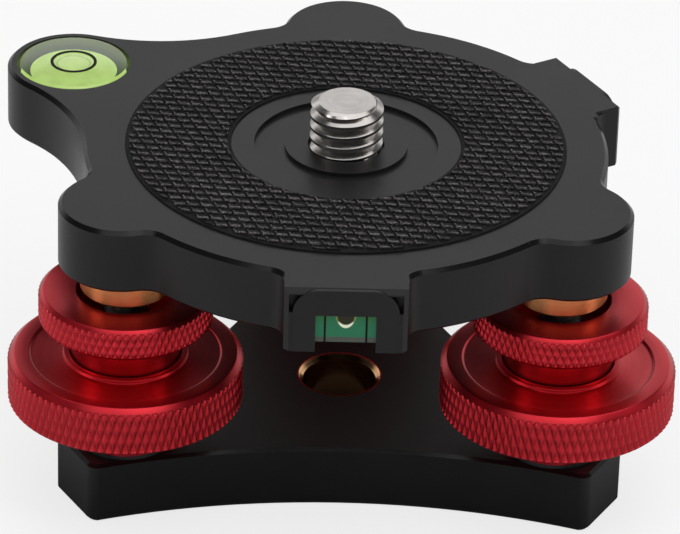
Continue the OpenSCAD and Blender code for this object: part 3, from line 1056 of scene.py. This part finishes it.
@dataclass
class AdjustingWheel(Knurled):
    """Knurled adjusting wheel of one corner, with its hub, dished face and collar."""

    radius: float = 15.3
    knurl_depth: float = 0.24
    starts: int = 90
    first_row: float = 14.95
    row_step: float = 1.70
    low: float = 14.9
    top: float = 21.4
    low_chamfer: float = 0.25
    top_chamfer: float = 0.85
    hub_r: float = 6.5
    hub_z: float = 9.1
    spindle_r: float = 4.5
    spindle_z: float = 2.5
    dish_r: float = 12.5
    dish: float = 0.25
    collar_r: float = 8.1
    collar_top: float = 21.65
    well_r: float = 7.3
    well_z: float = 17.0
    bore_r: float = 3.05
    bore_z: float = 7.4

    def build(self) -> bpy.types.Object:
        """Turns the wheel and knurls its rim.

        Returns:
            The wheel.
        """
        rim_low = self.low + self.low_chamfer
        rim_high = self.top - self.top_chamfer
        floor = self.top - self.dish
        return self.turned(f"knurled_wheel_{self.corner.label}", [
            (0.0, self.spindle_z, 0.0), (self.spindle_r, self.spindle_z, 0.1),
            (self.spindle_r, self.hub_z, 0.0), (self.hub_r, self.hub_z, 0.15), (self.hub_r, self.low, 0.2),
            (self.radius - self.low_chamfer, self.low, 0.1),
            (self.valley, rim_low - self.knurl_depth, 0.0), (self.valley, rim_high + self.knurl_depth, 0.0),
            (self.radius - self.top_chamfer, self.top, 0.12), (self.dish_r, self.top, 0.12),
            (self.dish_r - self.dish, floor, 0.15), (self.collar_r, floor, 0.12),
            (self.collar_r, self.collar_top, 0.16), (self.well_r, self.collar_top, 0.14),
            (self.well_r, self.well_z, 0.0), (self.bore_r, self.well_z, 0.0), (self.bore_r, self.bore_z, 0.0),
            (0.0, self.bore_z, 0.0),
        ], rim_low, rim_high)

    def dress(self) -> bpy.types.Object:
        """Builds the wheel and sets it on its body."""
        wheel = self.build()
        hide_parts(f"adjusting_wheel_{self.corner.label}")
        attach(wheel, f"wheel_{self.corner.label}")
        return wheel


@dataclass
class LockRing(Knurled):
    """Knurled lock ring of one corner, with its neck and its well for the ball bush."""

    radius: float = 11.3
    knurl_depth: float = 0.22
    starts: int = 72
    first_row: float = 26.3
    row_step: float = 1.13
    low: float = 26.3
    top: float = 30.7
    chamfer: float = 0.6
    neck_r: float = 7.1
    foot_z: float = 17.05
    well_r: float = 6.45
    well_z: float = 26.7
    bore_r: float = 3.05

    def build(self) -> bpy.types.Object:
        """Turns the ring and knurls its rim.

        Returns:
            The ring.
        """
        rim_low = self.low + self.chamfer
        rim_high = self.top - self.chamfer
        return self.turned(f"knurled_ring_{self.corner.label}", [
            (self.bore_r, self.foot_z, 0.0), (self.neck_r, self.foot_z, 0.12), (self.neck_r, self.low, 0.2),
            (self.radius - self.chamfer, self.low, 0.1),
            (self.valley, rim_low - self.knurl_depth, 0.0), (self.valley, rim_high + self.knurl_depth, 0.0),
            (self.radius - self.chamfer, self.top, 0.12), (self.well_r, self.top, 0.14),
            (self.well_r, self.well_z, 0.1), (self.bore_r, self.well_z, 0.0),
        ], rim_low, rim_high)

    def dress(self) -> bpy.types.Object:
        """Builds the ring and sets it on its body."""
        ring = self.build()
        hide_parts(f"lock_ring_{self.corner.label}")
        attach(ring, f"ring_{self.corner.label}")
        return ring


@dataclass
class GripPad:
    """Ring of black rubber on the top plate, with raised blocks in staggered rows."""

    finish: bpy.types.Material
    outer: float = 28.75
    inner: float = 15.0
    low: float = 42.9
    top: float = 44.2
    relief: float = 0.28
    border: float = 0.5
    column_pitch: float = 1.7635
    row_pitch: float = 1.5757
    row_shift: float = -0.7553
    turn: float = -4.612
    columns: int = 38
    rows: int = 42

    def dress(self) -> bpy.types.Object:
        """Builds the pad and sets it on the top plate."""
        floor = self.top - self.relief
        profile = Profile([
            (self.inner, self.low, 0.0), (self.outer, self.low, 0.0), (self.outer, floor, 0.08),
            (self.inner, floor, 0.08),
        ])
        pad = add_object("rubber_pad", profile.mesh("rubber_pad"), self.finish)
        through_nodes(pad, weave_tree(), {
            "Material": self.finish, "Columns": self.columns, "Rows": self.rows,
            "Pitch": self.column_pitch * MM, "Row Pitch": self.row_pitch * MM,
            "Row Shift": self.row_shift * MM, "Turn": math.radians(self.turn),
            "Inner": (self.inner + self.border) * MM, "Outer": (self.outer - self.border) * MM,
            "Floor": floor * MM, "Height": self.relief * MM,
        }, sharp=40.0)
        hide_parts("grip_pad")
        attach(pad, "top")
        return pad


@dataclass
class HeadStud:
    """Threaded stud in the middle of the top plate, with a right-hand thread cut along a helix."""

    finish: bpy.types.Material
    radius: float = 4.7625
    pitch: float = 1.5875
    root: float = 0.86
    root_share: float = 0.05
    flank_share: float = 0.34
    top: float = 50.05
    tip_r: float = 3.7
    tip_slope: float = 1.77
    thread_low: float = 43.25
    start: float = 0.046
    shank_r: float = 4.5
    head_r: float = 8.0
    head_low: float = 35.1
    head_top: float = 38.1
    overlap: float = 0.05
    steps: int = 96

    def thread_radius(self, share: float) -> float:
        """Radius of the thread at a share of its pitch, from the middle of one root to the next."""
        rise = min(1.0, max(0.0, (min(share, 1.0 - share) - self.root_share) / self.flank_share))
        return self.radius - self.root * (1.0 - rise)

    def tip_limit(self, z: float) -> float:
        """Greatest radius at a height, where the tip is chamfered."""
        return self.tip_r + max(0.0, self.top - z) * self.tip_slope

    def build(self) -> bpy.types.Mesh:
        """Winds the thread and closes it with the tip, the shank and the head.

        Returns:
            The stud's mesh.
        """
        shape = bmesh.new()
        shares = [0.0, 0.05, 0.22, 0.39, 0.42, 0.5, 0.58, 0.61, 0.78, 0.95]
        turns = int((self.top - self.thread_low) / self.pitch) + 2
        levels = [(turn + share) for turn in range(-1, turns) for share in shares]
        columns = []
        for step in range(self.steps):
            angle = 2.0 * math.pi * step / self.steps
            column = []
            for level in levels:
                z = self.thread_low + (level + step / self.steps + self.start) * self.pitch
                r = self.thread_radius(level - math.floor(level))
                z = min(max(z, self.thread_low), self.top)
                r = min(r, self.tip_limit(z))
                if z <= self.thread_low:
                    r = self.shank_r
                column.append(shape.verts.new((r * math.cos(angle) * MM, r * math.sin(angle) * MM, z * MM)))
            columns.append(column)
        per_turn = len(shares)
        for step in range(self.steps):
            wrap = per_turn if step == self.steps - 1 else 0
            column, other = columns[step], columns[(step + 1) % self.steps]
            for level in range(len(levels) - 1 - wrap):
                across = level + wrap
                shape.faces.new((column[level], other[across], other[across + 1], column[level + 1]))
        bmesh.ops.remove_doubles(shape, verts=shape.verts, dist=1e-8)
        bmesh.ops.dissolve_degenerate(shape, edges=shape.edges, dist=1e-8)
        bmesh.ops.holes_fill(shape, edges=[edge for edge in shape.edges if edge.is_boundary], sides=0)
        return finish_mesh(shape, "threaded_stud", sharp=24.0)

    def dress(self) -> bpy.types.Object:
        """Builds the stud and sets it on the top plate."""
        stud = add_object("threaded_stud", self.build(), self.finish)
        shank_top = self.thread_low + self.overlap
        low = Profile([
            (0.0, self.head_low, 0.0), (self.head_r, self.head_low, 0.2), (self.head_r, self.head_top, 0.2),
            (self.shank_r, self.head_top, 0.0), (self.shank_r, shank_top, 0.0), (0.0, shank_top, 0.0),
        ])
        shank = add_object("stud_head", low.mesh("stud_head"), self.finish)
        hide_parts("head_stud")
        for piece in (stud, shank):
            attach(piece, "top")
        return stud


@dataclass
class RoundLevel:
    """Round level in the lug: its clear vial, the cup within, the spirit on its floor and the bubble."""

    clear: bpy.types.Material
    lining: bpy.types.Material
    spirit: bpy.types.Material
    bubble: bpy.types.Material
    vial_r: float = 7.55
    vial_low: float = 37.92
    top: float = 43.8
    bevel: float = 0.5
    cup_r: float = 7.52
    cup_low: float = 37.4
    floor_r: float = 5.7
    floor: float = 40.6
    rim_r: float = 7.36
    rim: float = 43.0
    film: float = 0.12
    film_gap: float = 0.02
    bubble_r: float = 2.45
    bubble_low: float = 42.8
    bubble_top: float = 43.5
    bubble_crown: float = 0.06
    shoulder_share: float = 0.68

    def outlines(self) -> dict[str, list[Point3]]:
        """The pieces' outlines by name."""
        middle = (self.bubble_low + self.bubble_top) / 2.0
        shoulder = self.shoulder_share * self.bubble_r
        return {
            "clear_vial": [
                (0.0, self.vial_low, 0.0), (self.vial_r, self.vial_low, 0.1),
                (self.vial_r, self.top - self.bevel, 0.08), (self.vial_r - self.bevel, self.top, 0.1),
                (0.0, self.top, 0.0),
            ],
            "frosted_cup": [
                (0.0, self.cup_low, 0.0), (self.cup_r, self.cup_low, 0.1), (self.cup_r, self.rim, 0.05),
                (self.rim_r, self.rim, 0.05), (self.floor_r, self.floor, 0.2), (0.0, self.floor, 0.0),
            ],
            "spirit_pool": [
                (0.0, self.floor + self.film_gap, 0.0), (self.floor_r, self.floor + self.film_gap, 0.02),
                (self.floor_r, self.floor + self.film, 0.02), (0.0, self.floor + self.film, 0.0),
            ],
            "air_bubble": [
                (0.0, self.bubble_low, 0.0), (shoulder, self.bubble_low + self.bubble_crown, 0.5),
                (self.bubble_r, middle, 0.3), (shoulder, self.bubble_top - self.bubble_crown, 0.5),
                (0.0, self.bubble_top, 0.0),
            ],
        }

    def dress(self) -> list[bpy.types.Object]:
        """Builds the level's pieces and sets them on the top plate."""
        outlines = self.outlines()
        made = []
        for name, finish, slot, node in (
            ("clear_vial", self.clear, "clear_acrylic", "round_vial"),
            ("frosted_cup", self.lining, "level_backing", "round_backing"),
            ("spirit_pool", self.spirit, "level_fluid", "round_fluid"),
            ("air_bubble", self.bubble, "level_fluid", None),
        ):
            piece = add_object(name, Profile(outlines[name], LUG_CENTRE, 96).mesh(name), finish)
            if node is not None:
                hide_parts(node)
            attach(piece, "top")
            made.append(piece)
        return made


# Stage


@dataclass
class Studio:
    """Pale floor, soft light and the camera of the photograph."""

    width: int = 680
    focal_px: float = 5169.0
    azimuth: float = -0.920
    elevation: float = 30.089
    roll: float = 1.662
    distance: float = 682.9
    target: Point3 = (-0.326, 0.344, 24.936)
    sensor: float = 36.0
    lamp_aim: Point3 = (0.0, 0.0, 0.03)
    floor_size: float = 8.0
    floor_drop: float = 0.0001

    def camera(self) -> None:
        """Sets the camera."""
        lens = bpy.data.cameras.new("camera")
        lens.sensor_width = self.sensor
        lens.sensor_fit = "HORIZONTAL"
        lens.lens = self.focal_px / self.width * self.sensor
        lens.clip_start, lens.clip_end = 0.01, 50.0
        az, el, roll = (math.radians(part) for part in (self.azimuth, self.elevation, self.roll))
        back = Vector((math.sin(az) * math.cos(el), -math.cos(az) * math.cos(el), math.sin(el)))
        right = (-back).cross(Vector((0.0, 0.0, 1.0))).normalized()
        up = right.cross(-back)
        side = math.cos(roll) * right + math.sin(roll) * up
        over = -math.sin(roll) * right + math.cos(roll) * up
        spot = (Vector(self.target) + back * self.distance) * MM
        made = bpy.data.objects.new("camera", lens)
        made.matrix_world = Matrix.Translation(spot) @ Matrix((side, over, back)).transposed().to_4x4()
        bpy.context.scene.collection.objects.link(made)
        bpy.context.scene.camera = made

    def lamp(self, name: str, spot: Point3, size: Point2, power: float) -> None:
        """Adds a soft box.

        Args:
            name: its name.
            spot: its place, in metres.
            size: its width and height, in metres.
            power: its power in watts.
        """
        light = bpy.data.lights.new(name, "AREA")
        light.shape = "RECTANGLE"
        light.size, light.size_y = size
        light.energy = power
        made = bpy.data.objects.new(name, light)
        made.location = spot
        made.rotation_euler = (Vector(self.lamp_aim) - Vector(spot)).to_track_quat("-Z", "Y").to_euler()
        bpy.context.scene.collection.objects.link(made)

    def world(self) -> None:
        """A room with white sides and a white back, dark above, seen white by the camera."""
        room = bpy.data.worlds.new("room")
        room.use_nodes = True
        room.node_tree.nodes.clear()
        graph = Graph(room.node_tree)
        way = graph.value("ShaderNodeTexCoord", {}, {}, "Generated")
        x, y, z = graph.split(way)
        seen, shone = graph.rays()
        aside = x.of("ABSOLUTE").ramp(0.20, 0.95)
        behind = y.ramp(0.20, 0.70) * (1.0 - aside)
        before = (0.0 - y).ramp(0.15, 0.45)
        low = 1.0 - z.ramp(0.20, 0.45)
        middle = (1.0 - low) * (1.0 - z.ramp(0.62, 0.80))
        band = z.ramp(0.25, 0.35) * (1.0 - z.ramp(0.43, 0.54))
        high = z.ramp(0.43, 0.54) * (1.0 - z.ramp(0.60, 0.75))
        ground = 0.52 + aside * 0.60 + before * 0.20 - behind * 0.20
        room_light = 0.08 + low * ground + behind * (band * 1.5 + high * 0.2) + middle * before * 0.17
        strength = seen + (1.0 - seen) * (shone * room_light + (1.0 - shone) * 0.40)
        light = graph.node("ShaderNodeBackground", {}, {"Color": (1.0, 1.0, 1.0), "Strength": strength})
        graph.node("ShaderNodeOutputWorld", {}, {"Surface": light.outputs[0]})
        bpy.context.scene.world = room

    def floor(self) -> None:
        """A pale floor that keeps the object's shadow, with a painted shadow under the object for
        reflections.
        """
        paint = Paint.start("floor_white")
        x, y, _ = paint.split(paint.place())
        # Painted shadow: the glow that reflections see fades out under the object, within 35 to 75 mm of the
        # middle.
        clear = x.hypot(y).ramp(0.035, 0.075)
        seen, shone = paint.rays()
        matt = paint.node("ShaderNodeBsdfDiffuse", {}, {"Color": (0.86, 0.86, 0.86)})
        strength = seen + shone * (0.04 + clear * 0.6)
        glow = paint.node("ShaderNodeEmission", {}, {"Color": (1.0, 1.0, 1.0), "Strength": strength})
        both = paint.node(
            "ShaderNodeMixShader", {}, {0: (seen + shone) * 0.76, 1: matt.outputs[0], 2: glow.outputs[0]}
        )
        paint.node("ShaderNodeOutputMaterial", {}, {"Surface": both.outputs[0]})
        shape = bmesh.new()
        bmesh.ops.create_grid(shape, x_segments=1, y_segments=1, size=self.floor_size)
        bmesh.ops.translate(shape, verts=shape.verts, vec=(0.0, 0.0, -self.floor_drop))
        made = add_object("floor", finish_mesh(shape, "floor", sharp=30.0), paint.material)

    def build(self) -> None:
        """Sets floor, light and camera."""
        scene = bpy.context.scene
        scene.view_settings.view_transform = "Standard"
        self.floor()
        self.world()
        self.lamp("soft_box_key", spot=(0.0, -0.33, 0.66), size=(0.74, 0.42), power=1.2)
        self.lamp("soft_box_above", spot=(0.10, 0.10, 0.78), size=(0.95, 0.75), power=2.9)
        self.lamp("soft_box_left", spot=(-0.75, -0.25, 0.16), size=(0.35, 0.4), power=1.1)
        self.lamp("soft_box_right", spot=(0.75, -0.20, 0.16), size=(0.35, 0.4), power=1.1)
        self.camera()


def paint_node(name: str, material: bpy.types.Material) -> None:
    """Gives a carried-over solid its finish.

    Args:
        name: the node.
        material: the finish.
    """
    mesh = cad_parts[name].data
    mesh.materials.clear()
    mesh.materials.append(material)
    LOG.info("node %s: %s", name, material.name)


def dress_solids(pitch: float) -> None:
    """Gives every solid that stays in view its finish.

    Args:
        pitch: distance of the adjusters' axes from the middle.
    """
    plate = BlackAnodise(
        "black_anodise_plate", colour=(0.0076, 0.0073, 0.0077), roughness=0.36, specular=0.27
    )
    base = BlackAnodise(
        "black_anodise_base", colour=(0.0066, 0.0063, 0.0066), roughness=0.36, specular=0.32, top=0.2
    )
    paint_node("top_plate", plate.material())
    paint_node("base_plate", base.material())
    # The tripod bush's bore is darkened with painted shade.
    bush = BareMetal(
        "bronze_bush", axis=(0.0, 0.0), colour=(0.72, 0.42, 0.21), shade=(0.52, 0.28, 0.13), roughness=0.16,
        rings=0.35, bore_r=4.9, bore_low=2.0, bore_high=7.6, bore=(0.20, 0.10, 0.045)
    )
    paint_node("tripod_bush", bush.material())
    nylon = Moulding(
        "black_nylon", colour=(0.016, 0.016, 0.017), shade=(0.011, 0.011, 0.012), roughness=0.5, specular=0.3
    ).material()
    # Painted shade: the screws, washers and plugs of the adjusters get a dark steel colour for the shaded
    # gaps they sit in.
    steel = BareMetal(
        "zinc_steel", axis=(0.0, 0.0), colour=(0.30, 0.29, 0.28), shade=(0.20, 0.20, 0.20), roughness=0.32,
        rings=0.2
    ).material()
    for corner in Corner:
        bronze = BareMetal(
            f"bronze_{corner.label}", axis=corner.centre(pitch), colour=(0.80, 0.375, 0.155),
            shade=(0.66, 0.262, 0.092), roughness=0.34, rings=0.12, spread=0.8
        ).material()
        paint_node(f"ball_bush_{corner.label}", bronze)
        for piece in ("retaining_washer", "retaining_screw", "leveling_screw", "socket_plug"):
            paint_node(f"{piece}_{corner.label}", steel)
        for piece in ("thrust_washer", "ball_liner"):
            paint_node(f"{piece}_{corner.label}", nylon)


def dress_levels() -> list[bpy.types.Object]:
    """Gives the three spirit levels their finishes.

    Returns:
        The pieces of the round level.
    """
    ink = Moulding(
        "printed_black", colour=(0.008, 0.009, 0.007), shade=(0.005, 0.006, 0.005), roughness=0.5,
        specular=0.1
    ).material()
    paint_node("round_mark", ink)
    tube_back = Moulding(
        "tube_backing", colour=(0.20, 0.22, 0.20), shade=(0.16, 0.18, 0.16), roughness=0.6
    ).material()
    tube_green = Moulding(
        "tube_spirit", colour=(0.022, 0.125, 0.066), shade=(0.018, 0.10, 0.052), roughness=0.3
    ).material()
    for side in Side:
        vial = TubeVial(
            f"tube_vial_{side.label}", side, colour=(0.014, 0.120, 0.058), upper=(0.022, 0.105, 0.026),
            foot=(0.050, 0.060, 0.050), air=(0.016, 0.016, 0.006), rim=(0.17, 0.22, 0.04),
            shine=(0.62, 0.68, 0.50), foot_z=36.65, crown=39.9, half_length=1.28, half_height=2.05, glow=0.3
        )
        paint_node(f"tube_vial_{side.label}", vial.material())
        paint_node(f"tube_fluid_{side.label}", tube_green)
        paint_node(f"tube_lines_{side.label}", ink)
        paint_node(f"tube_backing_{side.label}", tube_back)
    return RoundLevel(
        clear=Acrylic("clear_acrylic", colour=(0.95, 0.98, 0.92), roughness=0.03).material(),
        lining=FrostedCup(
            "frosted_cup", low=(0.036, 0.058, 0.026), high=(0.085, 0.122, 0.016), floor=RoundLevel.floor,
            rim=RoundLevel.rim, glow=0.55
        ).material(),
        spirit=RoundSpirit(
            "round_spirit", colour=(0.45, 0.62, 0.18), shade=(0.40, 0.56, 0.15), glow=0.66
        ).material(),
        bubble=AirBubble(
            "air_bubble", LUG_CENTRE, colour=(0.62, 0.74, 0.36), rim=(0.30, 0.42, 0.12),
            radius=RoundLevel.bubble_r, glow=0.5
        ).material(),
    ).dress()


# Depth below a knurled rim at which its duller finish begins, in millimetres
RIM_DEPTH = 0.3


def main() -> None:
    """Builds the stage and the pieces in order and reports each."""
    logging.basicConfig(level=logging.INFO, format="%(message)s")
    Studio().build()
    pitch = AdjustingWheel.pitch
    dress_solids(pitch)
    for piece in dress_levels():
        LOG.info("piece %s", piece.name)
    knurl = knurl_tree()
    for corner in Corner:
        wheel_red, ring_red = (
            RedAnodise(
                f"red_{kind}_{corner.label}", axis=corner.centre(pitch), colour=(0.62, 0.017, 0.032),
                deep=(0.46, 0.010, 0.018), roughness=0.34, rim_r=radius - RIM_DEPTH, rim_roughness=0.36
            ).material()
            for kind, radius in (("wheel", AdjustingWheel.radius), ("ring", LockRing.radius))
        )
        LOG.info("piece %s", AdjustingWheel(corner, wheel_red, knurl).dress().name)
        LOG.info("piece %s", LockRing(corner, ring_red, knurl).dress().name)
    rubber = Rubber(
        "black_rubber", colour=(0.003, 0.003, 0.0033), dust=(0.175, 0.163, 0.163), floor=43.93, crown=44.17
    ).material()
    LOG.info("piece %s", GripPad(rubber).dress().name)
    steel = BareMetal(
        "stainless", axis=(0.0, 0.0), colour=(0.56, 0.53, 0.51), shade=(0.43, 0.41, 0.39), roughness=0.19,
        rings=0.16
    ).material()
    LOG.info("piece %s", HeadStud(steel).dress().name)


if __name__ == "__main__":
    main()
